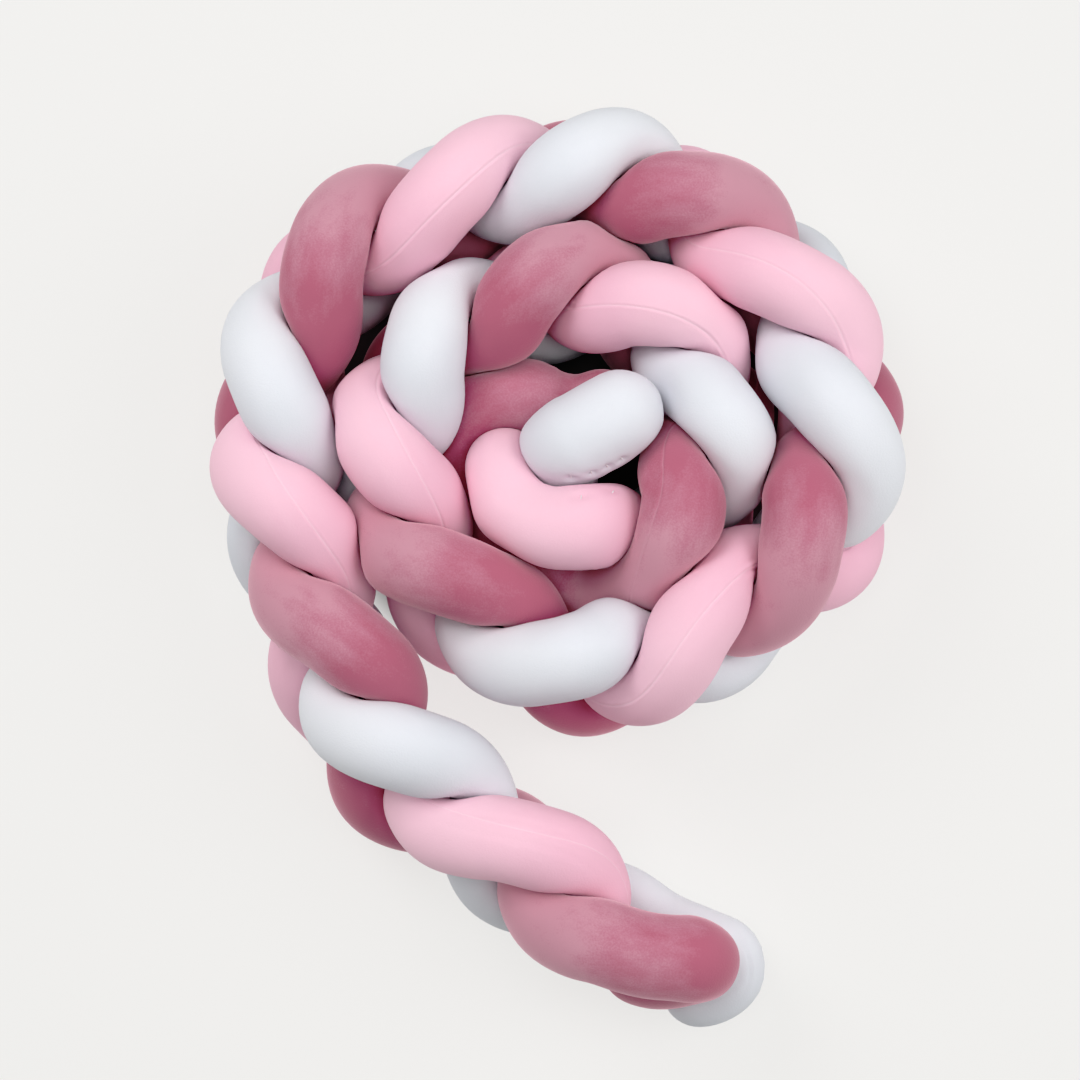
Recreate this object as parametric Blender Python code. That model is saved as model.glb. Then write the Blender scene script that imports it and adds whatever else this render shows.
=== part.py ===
"""A crib bumper: three stuffed velvet tubes in one flat plait.

The plait stands on its edge, as it does along a cot's side, and lies coiled in a little
over two turns with a short tail. It rests on z = 0, and +Y is the way of its length.
Every tube is one closed solid. Its centre line goes over, under and from side to side
with the plait, and its skin bulges out until it meets the tubes that press on it.
"""

import math

import bmesh
import bpy
import numpy as np

MM = 0.001

# ---------------------------------------------------------------- the plait's sizes, mm

TUBE_RADIUS = 28.0          # of a stuffed tube that nothing presses
MID_HEIGHT = 82.0           # of the plait, above the surface that it stands on
CROWN_RISE = 56.0           # a tube's centre swings this far above and below mid height
RISE_THIRD = 2.0            # sharpens the top of a loop, or flattens it below nought
SIDE_SWING = 14.0           # a tube's centre swings this far to each side
SIDE_CROSSING = -2.0        # makes the tubes cross the middle more steeply
TAIL_SINK = 0.12            # the share of its height that the slacker tail loses
TAIL_CROWNS = (2.0, 5.0)    # between these that fades out
LEAN_PIVOT = 0.6            # the cosine of the phase at which the lean is nought
CROWNS_PER_REPEAT = 3       # each tube comes to the top at every third crown

# ------------------------------------------------------------- how the tubes press, mm

CONTACT_GAP = 3.6           # between two tubes that press on each other
CLEARANCE = 42.0            # centre lines closer than this are pushed apart
LOWEST_CENTRE = 23.0        # no centre line comes nearer to the surface
OWN_REACH = 80.0            # a tube doesn't press on this much of itself, each way
REACH = 150.0               # what is further off than this presses on nothing
NO_LENGTH = 1e-6            # keeps a division from failing
SEWN_ENDS = (45.0, 135.0)   # from an end: fast up to the first, quite loose from the second
PUSH_STEPS = 60
PUSH_SHARE = 0.35           # of the lacking clearance, made up in one step
PUSH_FADE = 0.985           # of a push, kept from one step to the next

BEND_SHARE = 0.85           # of the way to a bend's middle, filled by the tube inside it
SHARPNESS = 9.0             # of the edges where a tube bulges between its neighbours
STUFFING = 0.97             # of a free tube's section, kept where a tube is pressed
LEAST_RADIUS = 0.90         # of a pressed tube's free side, in free radii
MOST_RADIUS = 1.03          # of it, where the tube bulges
LEAST_REACH = 4.0           # of the most tightly pressed skin

# ------------------------------------------------------------------ the solids' facets

SIDES = 14                  # round a tube
RINGS = 180                 # along a tube
CAP_RINGS = 5               # of them, in each rounded end
AREA_STEPS = 3              # that bring a pressed section back to its area
SMOOTH_STEPS = 2            # over the finished sections

KEYS_PER_CROWN = 8          # points that the woven line is read at
LINE_POINTS = 400           # points of a finished centre line
PUSH_EVERY = 4              # of them is one that is pushed

# ------------------------------------------------------------------------- the colours

STRANDS = ["mauve", "pink", "white"]
VELVET = {
    # strand: base colour (linear), roughness, metallic
    "mauve": ((0.48, 0.17, 0.24), 0.92, 0.0),
    "pink": ((0.95, 0.60, 0.71), 0.92, 0.0),
    "white": ((0.80, 0.83, 0.87), 0.92, 0.0),
}

# Every place where a tube comes to the top, from the tail to the middle of the coil.
# x and y are the middle of its loop in plan.
CROWNS = [
    # strand, x, y, lean of the plait half-way to the next crown
    ("mauve", 53, -265, 12),
    ("pink", -16, -200, 11),
    ("white", -90, -141, 17),
    ("mauve", -128, -70, 12),
    ("pink", -163, 14, 9),
    ("white", -172, 89, 4),
    ("mauve", -140, 176, 9),
    ("pink", -61, 223, 9),
    ("white", 23, 240, 7),
    ("mauve", 91, 222, 8),
    ("pink", 158, 167, 10),
    ("white", 192, 83, 7),
    ("mauve", 175, 4, 7),
    ("pink", 101, -56, 1),
    ("white", 27, -76, 5),
    ("mauve", -57, -26, 4),
    ("pink", -93, 45, 4),
    ("white", -70, 113, 4),
    ("mauve", -3, 160, 4),
    ("pink", 71, 148, 4),
    ("white", 111, 77, 5),
    ("mauve", 88, 9, 5),
    ("pink", 6, 4, 5),
    ("white", 36, 58, 5),
]

# The crown numbers between which each tube follows the plait.
WOVEN = {
    # strand: first, last
    "mauve": (1.0, 21.0),
    "pink": (1.35, 21.3),
    "white": (1.5, 20.2),
}

# The tucked and sewn ends, a row for each bend, in order away from the plait.
ENDS = [
    # strand, end, x, y, z, share of the free radius
    ("mauve", "tail", 80, -268, 124, 1.00),
    ("mauve", "tail", 98, -270, 120, 0.98),
    ("mauve", "tail", 107, -274, 103, 0.92),
    ("mauve", "tail", 94, -282, 76, 0.86),
    ("mauve", "tail", 68, -286, 50, 0.82),
    ("mauve", "tail", 42, -278, 36, 0.80),
    ("pink", "tail", 30, -246, 66, 0.90),
    ("pink", "tail", 46, -256, 54, 0.80),
    ("white", "tail", 42, -246, 30, 0.95),
    ("white", "tail", 72, -264, 36, 0.86),
    ("white", "tail", 104, -278, 46, 0.86),
    ("white", "tail", 123, -290, 52, 0.88),
    ("white", "tail", 112, -305, 46, 0.90),
    ("white", "tail", 78, -303, 32, 0.88),
    ("mauve", "middle", 112, 68, 78, 1.00),
    ("mauve", "middle", 99, 56, 104, 1.00),
    ("mauve", "middle", 97, 36, 128, 1.00),
    ("mauve", "middle", 99, 16, 138, 1.00),
    ("mauve", "middle", 94, -4, 138, 1.00),
    ("mauve", "middle", 83, -22, 120, 1.00),
    ("mauve", "middle", 66, -34, 94, 1.00),
    ("mauve", "middle", 44, -36, 71, 1.00),
    ("mauve", "middle", 20, -24, 61, 1.00),
    ("mauve", "middle", -6, -6, 59, 1.00),
    ("mauve", "middle", -32, 8, 56, 1.00),
    ("mauve", "middle", -52, 30, 58, 1.00),
    ("mauve", "middle", -60, 54, 68, 1.00),
    ("mauve", "middle", -54, 74, 82, 1.00),
    ("mauve", "middle", -38, 87, 92, 1.00),
    ("mauve", "middle", -16, 90, 95, 1.00),
    ("mauve", "middle", 8, 84, 94, 0.92),
    ("mauve", "middle", 28, 86, 96, 0.72),
    ("mauve", "middle", 44, 90, 100, 0.74),
    ("mauve", "middle", 62, 92, 99, 0.70),
    ("pink", "middle", 114, 30, 28, 1.00),
    ("pink", "middle", 110, 8, 38, 1.00),
    ("pink", "middle", 94, -8, 48, 1.00),
    ("pink", "middle", 74, -8, 62, 1.00),
    ("pink", "middle", 57, -1, 88, 1.00),
    ("pink", "middle", 48, 4, 118, 1.00),
    ("pink", "middle", 35, 3, 140, 1.00),
    ("pink", "middle", 12, 2, 141, 1.00),
    ("pink", "middle", -9, 11, 131, 1.00),
    ("pink", "middle", -20, 29, 121, 1.00),
    ("pink", "middle", -22, 46, 108, 0.95),
    ("pink", "middle", -22, 58, 88, 0.85),
    ("pink", "middle", -18, 62, 70, 0.75),
    ("white", "middle", 86, 114, 98, 1.02),
    ("white", "middle", 96, 98, 122, 1.03),
    ("white", "middle", 108, 80, 136, 1.00),
    ("white", "middle", 118, 64, 135, 1.00),
    ("white", "middle", 118, 48, 114, 1.00),
    ("white", "middle", 107, 35, 86, 1.00),
    ("white", "middle", 91, 24, 58, 1.00),
    ("white", "middle", 74, 12, 34, 1.00),
    ("white", "middle", 56, -6, 26, 1.00),
    ("white", "middle", 38, -28, 26, 1.00),
    ("white", "middle", 16, -38, 27, 1.00),
    ("white", "middle", -8, -24, 27, 1.00),
    ("white", "middle", -6, 4, 27, 1.00),
    ("white", "middle", 2, 26, 46, 0.96),
    ("white", "middle", 5, 38, 80, 0.95),
    ("white", "middle", 5, 48, 112, 1.02),
    ("white", "middle", 17, 56, 139, 1.08),
    ("white", "middle", 39, 69, 144, 1.08),
    ("white", "middle", 73, 89, 141, 1.02),
]


def spline(knots, values):
    """A natural cubic spline through values at knots, as a function."""
    knots = np.asarray(knots, float)
    values = np.asarray(values, float)
    count = len(knots)
    step = np.diff(knots)
    system = np.eye(count)
    right = np.zeros_like(values)
    for i in range(1, count - 1):
        system[i, i - 1 : i + 2] = step[i - 1], 2.0 * (step[i - 1] + step[i]), step[i]
        after = (values[i + 1] - values[i]) / step[i]
        before = (values[i] - values[i - 1]) / step[i - 1]
        right[i] = 6.0 * (after - before)
    bend = np.linalg.solve(system, right)

    def at(where):
        where = np.atleast_1d(np.asarray(where, float))
        i = np.clip(np.searchsorted(knots, where) - 1, 0, count - 2)
        h = step[i][:, None]
        to_next = (knots[i + 1] - where)[:, None]
        from_last = (where - knots[i])[:, None]
        low = bend[i] * to_next**3 / (6.0 * h) + (values[i] / h - bend[i] * h / 6.0) * to_next
        high = bend[i + 1] * from_last**3 / (6.0 * h)
        return low + high + (values[i + 1] / h - bend[i + 1] * h / 6.0) * from_last

    return at


def run_of(points):
    """How far along the line each point is."""
    return np.concatenate([[0.0], np.cumsum(np.linalg.norm(np.diff(points, axis=0), axis=1))])


def unit(vectors):
    return vectors / np.linalg.norm(vectors, axis=-1)[..., None]


def plait_axis():
    """The plait's middle line in plan, with the crown's number as its parameter."""
    plan = np.array([[x, y] for _, x, y, _ in CROWNS], float)
    before = 2.0 * plan[0] - plan[1]
    after = 2.0 * plan[-1] - plan[-2]
    return spline(np.arange(len(plan) + 2), np.vstack([before, plan, after]))


def woven_line(axis, strand):
    """A tube's centre line where it is plaited: over and under, and from side to side."""
    first, last = WOVEN[strand]
    crown = np.linspace(first, last, round((last - first) * KEYS_PER_CROWN))
    phase = 2.0 * math.pi * (crown - 1 - STRANDS.index(strand)) / CROWNS_PER_REPEAT
    ahead = unit(axis(crown + 0.5) - axis(crown - 0.5))
    inward = np.column_stack([ahead[:, 1], -ahead[:, 0]])
    side = -(SIDE_SWING * np.sin(2.0 * phase) + SIDE_CROSSING * np.sin(4.0 * phase))
    lean = np.interp(crown, np.arange(len(CROWNS)) + 1.5, [row[3] for row in CROWNS])
    side = side + lean * (np.cos(phase) - LEAN_PIVOT)
    in_tail = 1.0 - np.interp(crown, TAIL_CROWNS, (0.0, 1.0))
    height = MID_HEIGHT + CROWN_RISE * np.cos(phase) + RISE_THIRD * np.cos(3.0 * phase)
    height = height - TAIL_SINK * in_tail * (height - LOWEST_CENTRE)
    return np.column_stack([axis(crown) + inward * side[:, None], height])


def end_rows(strand, end):
    return np.array([row[2:] for row in ENDS if row[:2] == (strand, end)], float)


def centre_line(axis, strand):
    """The whole of a tube's centre line, and its free radius at each point of it."""
    woven = woven_line(axis, strand)
    woven = np.column_stack([woven, np.ones(len(woven))])
    keys = np.vstack([end_rows(strand, "tail")[::-1], woven, end_rows(strand, "middle")])
    run = run_of(keys[:, :3])
    place = np.linspace(0.0, run[-1], LINE_POINTS)
    return spline(run, keys[:, :3])(place), TUBE_RADIUS * np.interp(place, run, keys[:, 3])


def smooth_along(values):
    """Each row averaged with the rows before and after it."""
    padded = np.concatenate([values[:1], values, values[-1:]])
    return (padded[:-2] + 2.0 * padded[1:-1] + padded[2:]) / 4.0


def push_apart(lines):
    """Moves the centre lines apart where the tubes would be squeezed too much."""
    sparse = [line[::PUSH_EVERY] for line in lines]
    start = np.vstack(sparse)
    owner = np.concatenate([np.full(len(line), i) for i, line in enumerate(sparse)])
    run = np.concatenate([run_of(line) for line in sparse])
    own = owner[:, None] == owner[None, :]
    presses = ~(own & (np.abs(run[:, None] - run[None, :]) < OWN_REACH))
    to_tip = np.concatenate([run_of(line[::-1])[::-1] for line in sparse])
    loose = np.interp(np.minimum(run, to_tip), SEWN_ENDS, (0.0, 1.0))[:, None]
    shift = np.zeros_like(start)
    for _ in range(PUSH_STEPS):
        points = start + shift
        apart = points[:, None] - points[None, :]
        distance = np.linalg.norm(apart, axis=2) + NO_LENGTH
        lack = np.where(presses, np.maximum(CLEARANCE - distance, 0.0), 0.0)
        push = (apart / distance[:, :, None] * lack[:, :, None]).sum(1)
        push /= np.maximum((lack > 0.0).sum(1), 1)[:, None]
        shift = PUSH_FADE * shift + PUSH_SHARE * push * loose
        for i in range(len(lines)):
            shift[owner == i] = smooth_along(smooth_along(shift[owner == i]))
        shift[:, 2] = np.maximum(shift[:, 2], LOWEST_CENTRE - start[:, 2])
    moved = []
    for i, line in enumerate(lines):
        run_here = run_of(line)
        moved.append(line + spline(run_here[::PUSH_EVERY], shift[owner == i])(run_here))
    return moved


def turned_frames(line):
    """At each point of a line: its tangent, and two ways across that don't twist."""
    tangent = unit(np.gradient(line, axis=0))
    first = np.zeros_like(line)
    way = np.array([0.0, 0.0, 1.0])
    for i, ahead in enumerate(tangent):
        way = way - ahead * (way @ ahead)
        way = way / np.linalg.norm(way)
        first[i] = way
    return tangent, first, np.cross(tangent, first)


def bend_limit(bend, ways):
    """How far a tube may reach each way before it folds over inside its own bend."""
    toward = ways @ bend
    return np.where(toward > NO_LENGTH, BEND_SHARE / np.maximum(toward, NO_LENGTH), REACH)


def cap_share(run, length):
    """How much of its full radius a tube has: all of it, and less in its rounded ends."""
    from_end = np.clip(np.minimum(run, length - run) / TUBE_RADIUS, 0.0, 1.0)
    return np.sqrt(1.0 - (1.0 - from_end) ** 2)


def contact_limit(centre, room, ways, neighbours, their_room):
    """How far a tube may reach each way before it meets a neighbour, the fuller one first."""
    apart = neighbours - centre
    distance = np.linalg.norm(apart, axis=1)
    near = distance < REACH
    toward = ways @ apart[near].T
    fuller = (room**2 - their_room[near] ** 2) / 2.0
    border = distance[near] ** 2 / 2.0 + fuller - CONTACT_GAP / 2.0 * distance[near]
    bound = np.where(toward > NO_LENGTH, border / np.maximum(toward, NO_LENGTH), REACH)
    return np.maximum(bound.min(1), LEAST_REACH)


def section_sizes(limit, radius):
    """The reach of every ring, each way: round where free, flat where pressed."""
    free = np.repeat(radius[:, None], limit.shape[1], 1)
    wanted = STUFFING * math.pi * radius**2
    wedge = 0.5 * math.sin(2.0 * math.pi / limit.shape[1])
    for _ in range(AREA_STEPS):
        size = (free**-SHARPNESS + limit**-SHARPNESS) ** (-1.0 / SHARPNESS)
        area = wedge * (size * np.roll(size, -1, 1)).sum(1)
        free *= np.sqrt(wanted / area)[:, None]
        free = np.clip(free, LEAST_RADIUS * radius[:, None], MOST_RADIUS * radius[:, None])
    for _ in range(SMOOTH_STEPS):
        size = (np.roll(size, 1, 1) + 2.0 * size + np.roll(size, -1, 1)) / 4.0
        size = np.minimum(smooth_along(size), limit)
    return size


def ring_places(length):
    """How far along each ring is: close together in the rounded ends."""
    slope = np.linspace(0.0, math.pi / 2.0, CAP_RINGS + 1)[1:]
    cap = TUBE_RADIUS * (1.0 - np.cos(slope))
    middle = np.linspace(TUBE_RADIUS, length - TUBE_RADIUS, RINGS - 2 * CAP_RINGS + 2)
    return np.concatenate([cap[:-1], middle, (length - cap[:-1])[::-1]])


def tube_rings(lines, radii, index):
    """The ring points of one tube, and the two points that close its ends."""
    line = lines[index]
    run = run_of(line)
    rooms = [radius * cap_share(run_of(each), run_of(each)[-1]) for each, radius in zip(lines, radii)]
    place = ring_places(run[-1])
    tangent_line, up, across = turned_frames(line)
    centre = spline(run, line)(place)
    tangent = unit(spline(run, tangent_line)(place))
    up = spline(run, up)(place)
    up = unit(up - tangent * (up * tangent).sum(1)[:, None])
    across = np.cross(tangent, up)
    angle = np.linspace(0.0, 2.0 * math.pi, SIDES, endpoint=False)[None, :, None]
    ways = np.cos(angle) * up[:, None] + np.sin(angle) * across[:, None]
    others = [i for i in range(len(lines)) if i != index]
    other_points = np.vstack([lines[i] for i in others])
    other_rooms = np.concatenate([rooms[i] for i in others])
    cap = cap_share(place, run[-1])
    room = np.interp(place, run, radii[index]) * cap
    bend = spline(run, np.gradient(tangent_line, run, axis=0))(place)
    limit = np.empty((len(place), SIDES))
    for i in range(len(place)):
        far = np.abs(run - place[i]) > OWN_REACH
        points = np.vstack([other_points, line[far]])
        their_room = np.concatenate([other_rooms, rooms[index][far]])
        pressed = contact_limit(centre[i], room[i], ways[i], points, their_room)
        limit[i] = np.minimum(pressed, bend_limit(bend[i], ways[i]))
    limit = np.minimum(limit / cap[:, None], REACH)
    size = section_sizes(limit, np.interp(place, run, radii[index]))
    rings = centre[:, None] + ways * (size * cap[:, None])[:, :, None]
    rings[:, :, 2] = np.maximum(rings[:, :, 2], 0.0)
    return rings, line[[0, -1]]


def velvet(strand):
    colour, roughness, metallic = VELVET[strand]
    material = bpy.data.materials.new(f"{strand}_velvet")
    material.use_nodes = True
    shader = material.node_tree.nodes["Principled BSDF"]
    shader.inputs["Base Color"].default_value = (*colour, 1.0)
    shader.inputs["Roughness"].default_value = roughness
    shader.inputs["Metallic"].default_value = metallic
    return material


def to_origin(tubes):
    """Moves the tubes so that the middle of their plan is at x = 0, y = 0."""
    points = np.vstack([rings.reshape(-1, 3) for rings, _ in tubes])
    middle = (points.min(0) + points.max(0)) / 2.0 * (1.0, 1.0, 0.0)
    print("middle of the plan was at", np.round(middle[:2], 3), "mm")
    return [(rings - middle, tips - middle) for rings, tips in tubes]


def add_tube(strand, rings, tips):
    """One closed solid from its rings and the two points at its ends."""
    shape = bmesh.new()
    loops = [[shape.verts.new(point * MM) for point in ring] for ring in rings]
    for tip, loop in zip(tips, (loops[0], loops[-1])):
        point = shape.verts.new(tip * MM)
        for a, b in zip(loop, loop[1:] + loop[:1]):
            shape.faces.new((point, a, b))
    for low, high in zip(loops, loops[1:]):
        for i in range(SIDES):
            j = (i + 1) % SIDES
            shape.faces.new((low[i], low[j], high[j], high[i]))
    bmesh.ops.recalc_face_normals(shape, faces=shape.faces)
    mesh = bpy.data.meshes.new(f"strand_{strand}")
    shape.to_mesh(mesh)
    shape.free()
    mesh.shade_smooth()
    mesh.materials.append(velvet(strand))
    tube = bpy.data.objects.new(mesh.name, mesh)
    bpy.context.scene.collection.objects.link(tube)


def build():
    for obj in list(bpy.data.objects):
        bpy.data.objects.remove(obj)
    axis = plait_axis()
    lines, radii = zip(*[centre_line(axis, strand) for strand in STRANDS])
    lines = push_apart(lines)
    tubes = to_origin([tube_rings(lines, radii, index) for index in range(len(STRANDS))])
    for strand, line, (rings, tips) in zip(STRANDS, lines, tubes):
        add_tube(strand, rings, tips)
        print(strand, "tube length", round(run_of(line)[-1]), "mm")


build()
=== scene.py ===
# %% [markdown]
# # A coiled, plaited crib bumper
# The real object is three long tubes of short-pile velvet, each sewn from one strip, stuffed
# with loose fibre and closed at both ends. They are plaited into one flat braid, which stands
# on its edge and lies coiled in a little over two turns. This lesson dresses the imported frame
# of that object: it makes the three tubes again, finer and softer, and gives them velvet.

import math

import bpy
import numpy as np
from mathutils import Euler, Matrix, Vector, noise


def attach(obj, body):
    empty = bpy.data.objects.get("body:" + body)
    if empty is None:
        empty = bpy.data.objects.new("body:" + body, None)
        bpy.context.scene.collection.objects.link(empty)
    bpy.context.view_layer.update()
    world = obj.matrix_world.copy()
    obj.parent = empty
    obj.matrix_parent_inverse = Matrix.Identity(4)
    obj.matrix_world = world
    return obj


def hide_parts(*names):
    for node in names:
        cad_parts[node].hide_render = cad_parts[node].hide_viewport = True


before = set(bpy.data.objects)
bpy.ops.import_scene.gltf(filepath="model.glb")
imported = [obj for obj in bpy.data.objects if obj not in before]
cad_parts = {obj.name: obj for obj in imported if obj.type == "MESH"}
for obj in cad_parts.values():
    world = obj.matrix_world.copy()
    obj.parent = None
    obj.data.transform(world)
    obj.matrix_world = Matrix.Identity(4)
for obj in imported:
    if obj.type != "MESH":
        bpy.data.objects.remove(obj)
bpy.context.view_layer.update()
MM = 0.001

# %% [markdown]
# ## The camera
# The photo was taken from almost straight above, leaning a little back from the tail's side.
# A long lens keeps the far and the near turns nearly the same size. The camera comes first,
# so that every later step can be looked at through it.

# %% Place the camera
LOOK_AT = Vector((-0.0081, 0.0125, 0.116))   # the point in the middle of the picture
CAMERA_AWAY = 1.5                           # metres from it
LEAN_SOUTH = math.radians(5.5)              # from straight above, towards the tail
LEAN_EAST = math.radians(2.5)
SENSOR_MM = 36.0
FRAME_WIDTH = 0.714                         # metres across the picture at that point


def camera_axes():
    """The picture's right, its up, and the way back to the camera."""
    back = Vector((math.sin(LEAN_EAST), -math.sin(LEAN_SOUTH) * math.cos(LEAN_EAST),
                   math.cos(LEAN_SOUTH) * math.cos(LEAN_EAST)))
    right = Vector((0.0, 1.0, 0.0)).cross(back).normalized()
    return right, back.cross(right), back


right, up, back = camera_axes()
camera_data = bpy.data.cameras.new("camera")
camera_data.sensor_width = SENSOR_MM
camera_data.lens = SENSOR_MM * CAMERA_AWAY / FRAME_WIDTH
camera = bpy.data.objects.new("camera", camera_data)
camera.matrix_world = Matrix.Translation(LOOK_AT + CAMERA_AWAY * back) @ Matrix(
    (right, up, back)).transposed().to_4x4()
bpy.context.scene.collection.objects.link(camera)
bpy.context.scene.camera = camera
print("lens", round(camera_data.lens, 1), "mm")

# %% [markdown]
# ## The plait's route
# A flat braid of three tubes repeats after three crossings. Seen from its end, each tube's
# middle runs round a figure of eight. So one table is enough: where, in plan, each crown of
# the braid lies. A smooth curve through the crowns is the braid's own middle line, and
# cosines of the crown's number give each tube its height and its side. These are the sizes
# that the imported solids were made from, in millimetres.

# %% Sizes of the plait
PLAN_MIDDLE = (9.072, -15.188)   # of the table's x and y, which lies on the frame's origin
TUBE_RADIUS = 28.0
MID_HEIGHT = 82.0
CROWN_RISE = 56.0
RISE_THIRD = 2.0
SIDE_SWING = 14.0
SIDE_CROSSING = -2.0
TAIL_SINK = 0.12
TAIL_CROWNS = (2.0, 5.0)
LEAN_PIVOT = 0.6
LOWEST_CENTRE = 23.0
CROWNS_PER_REPEAT = 3
STRANDS = ["mauve", "pink", "white"]

CROWNS = [
    # strand on top, x, y, lean of the plait half-way to the next crown
    ("mauve", 53, -265, 12),
    ("pink", -16, -200, 11),
    ("white", -90, -141, 17),
    ("mauve", -128, -70, 12),
    ("pink", -163, 14, 9),
    ("white", -172, 89, 4),
    ("mauve", -140, 176, 9),
    ("pink", -61, 223, 9),
    ("white", 23, 240, 7),
    ("mauve", 91, 222, 8),
    ("pink", 158, 167, 10),
    ("white", 192, 83, 7),
    ("mauve", 175, 4, 7),
    ("pink", 101, -56, 1),
    ("white", 27, -76, 5),
    ("mauve", -57, -26, 4),
    ("pink", -93, 45, 4),
    ("white", -70, 113, 4),
    ("mauve", -3, 160, 4),
    ("pink", 71, 148, 4),
    ("white", 111, 77, 5),
    ("mauve", 88, 9, 5),
    ("pink", 6, 4, 5),
    ("white", 36, 58, 5),
]

WOVEN = {
    # strand: the crown numbers between which it follows the plait
    "mauve": (1.0, 21.0),
    "pink": (1.35, 21.3),
    "white": (1.5, 20.2),
}

ENDS = [
    # strand, end, x, y, z, share of the free radius
    ("mauve", "tail", 80, -268, 124, 1.00),
    ("mauve", "tail", 98, -270, 120, 0.98),
    ("mauve", "tail", 107, -274, 103, 0.92),
    ("mauve", "tail", 94, -282, 76, 0.86),
    ("mauve", "tail", 68, -286, 50, 0.82),
    ("mauve", "tail", 42, -278, 36, 0.80),
    ("pink", "tail", 30, -246, 66, 0.90),
    ("pink", "tail", 46, -256, 54, 0.80),
    ("white", "tail", 42, -246, 30, 0.95),
    ("white", "tail", 72, -264, 36, 0.86),
    ("white", "tail", 104, -278, 46, 0.86),
    ("white", "tail", 123, -290, 52, 0.88),
    ("white", "tail", 112, -305, 46, 0.90),
    ("white", "tail", 78, -303, 32, 0.88),
    ("mauve", "middle", 112, 68, 78, 1.00),
    ("mauve", "middle", 99, 56, 104, 1.00),
    ("mauve", "middle", 97, 36, 128, 1.00),
    ("mauve", "middle", 99, 16, 138, 1.00),
    ("mauve", "middle", 94, -4, 138, 1.00),
    ("mauve", "middle", 83, -22, 120, 1.00),
    ("mauve", "middle", 66, -34, 94, 1.00),
    ("mauve", "middle", 44, -36, 71, 1.00),
    ("mauve", "middle", 20, -24, 61, 1.00),
    ("mauve", "middle", -6, -6, 59, 1.00),
    ("mauve", "middle", -32, 8, 56, 1.00),
    ("mauve", "middle", -52, 30, 58, 1.00),
    ("mauve", "middle", -60, 54, 68, 1.00),
    ("mauve", "middle", -54, 74, 82, 1.00),
    ("mauve", "middle", -38, 87, 92, 1.00),
    ("mauve", "middle", -16, 90, 95, 1.00),
    ("mauve", "middle", 8, 84, 94, 0.92),
    ("mauve", "middle", 28, 86, 96, 0.72),
    ("mauve", "middle", 44, 90, 100, 0.74),
    ("mauve", "middle", 62, 92, 99, 0.70),
    ("pink", "middle", 114, 30, 28, 1.00),
    ("pink", "middle", 110, 8, 38, 1.00),
    ("pink", "middle", 94, -8, 48, 1.00),
    ("pink", "middle", 74, -8, 62, 1.00),
    ("pink", "middle", 57, -1, 88, 1.00),
    ("pink", "middle", 48, 4, 118, 1.00),
    ("pink", "middle", 35, 3, 140, 1.00),
    ("pink", "middle", 12, 2, 141, 1.00),
    ("pink", "middle", -9, 11, 131, 1.00),
    ("pink", "middle", -20, 29, 121, 1.00),
    ("pink", "middle", -22, 46, 108, 0.95),
    ("pink", "middle", -22, 58, 88, 0.85),
    ("pink", "middle", -18, 62, 70, 0.75),
    ("white", "middle", 86, 114, 98, 1.02),
    ("white", "middle", 96, 98, 122, 1.03),
    ("white", "middle", 108, 80, 136, 1.00),
    ("white", "middle", 118, 64, 135, 1.00),
    ("white", "middle", 118, 48, 114, 1.00),
    ("white", "middle", 107, 35, 86, 1.00),
    ("white", "middle", 91, 24, 58, 1.00),
    ("white", "middle", 74, 12, 34, 1.00),
    ("white", "middle", 56, -6, 26, 1.00),
    ("white", "middle", 38, -28, 26, 1.00),
    ("white", "middle", 16, -38, 27, 1.00),
    ("white", "middle", -8, -24, 27, 1.00),
    ("white", "middle", -6, 4, 27, 1.00),
    ("white", "middle", 2, 26, 46, 0.96),
    ("white", "middle", 5, 38, 80, 0.95),
    ("white", "middle", 5, 48, 112, 1.02),
    ("white", "middle", 17, 56, 139, 1.08),
    ("white", "middle", 39, 69, 144, 1.08),
    ("white", "middle", 73, 89, 141, 1.02),
]

# %% A smooth curve through points


def spline(knots, values):
    """A natural cubic spline through values at knots, as a function."""
    knots = np.asarray(knots, float)
    values = np.asarray(values, float)
    count = len(knots)
    step = np.diff(knots)
    system = np.eye(count)
    wanted = np.zeros_like(values)
    for i in range(1, count - 1):
        system[i, i - 1 : i + 2] = step[i - 1], 2.0 * (step[i - 1] + step[i]), step[i]
        after = (values[i + 1] - values[i]) / step[i]
        before = (values[i] - values[i - 1]) / step[i - 1]
        wanted[i] = 6.0 * (after - before)
    bend = np.linalg.solve(system, wanted)

    def at(where):
        where = np.atleast_1d(np.asarray(where, float))
        i = np.clip(np.searchsorted(knots, where) - 1, 0, count - 2)
        h = step[i][:, None]
        to_next = (knots[i + 1] - where)[:, None]
        from_last = (where - knots[i])[:, None]
        low = bend[i] * to_next**3 / (6.0 * h) + (values[i] / h - bend[i] * h / 6.0) * to_next
        high = bend[i + 1] * from_last**3 / (6.0 * h)
        return low + high + (values[i + 1] / h - bend[i + 1] * h / 6.0) * from_last

    return at


def run_of(points):
    """How far along the line each point is."""
    return np.concatenate([[0.0], np.cumsum(np.linalg.norm(np.diff(points, axis=0), axis=1))])


def unit(vectors):
    return vectors / np.linalg.norm(vectors, axis=-1)[..., None]


# %% The middle line of each tube
KEYS_PER_CROWN = 8
LINE_POINTS = 400
TUBE_PER_CROWN = 140.0   # mm: past its plaited stretch, a tube counts a crown at each of these


def plait_axis():
    """The plait's middle line in plan, with the crown's number as its parameter."""
    plan = np.array([[x, y] for _, x, y, _ in CROWNS], float) - PLAN_MIDDLE
    before = 2.0 * plan[0] - plan[1]
    after = 2.0 * plan[-1] - plan[-2]
    return spline(np.arange(len(plan) + 2), np.vstack([before, plan, after]))


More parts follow.
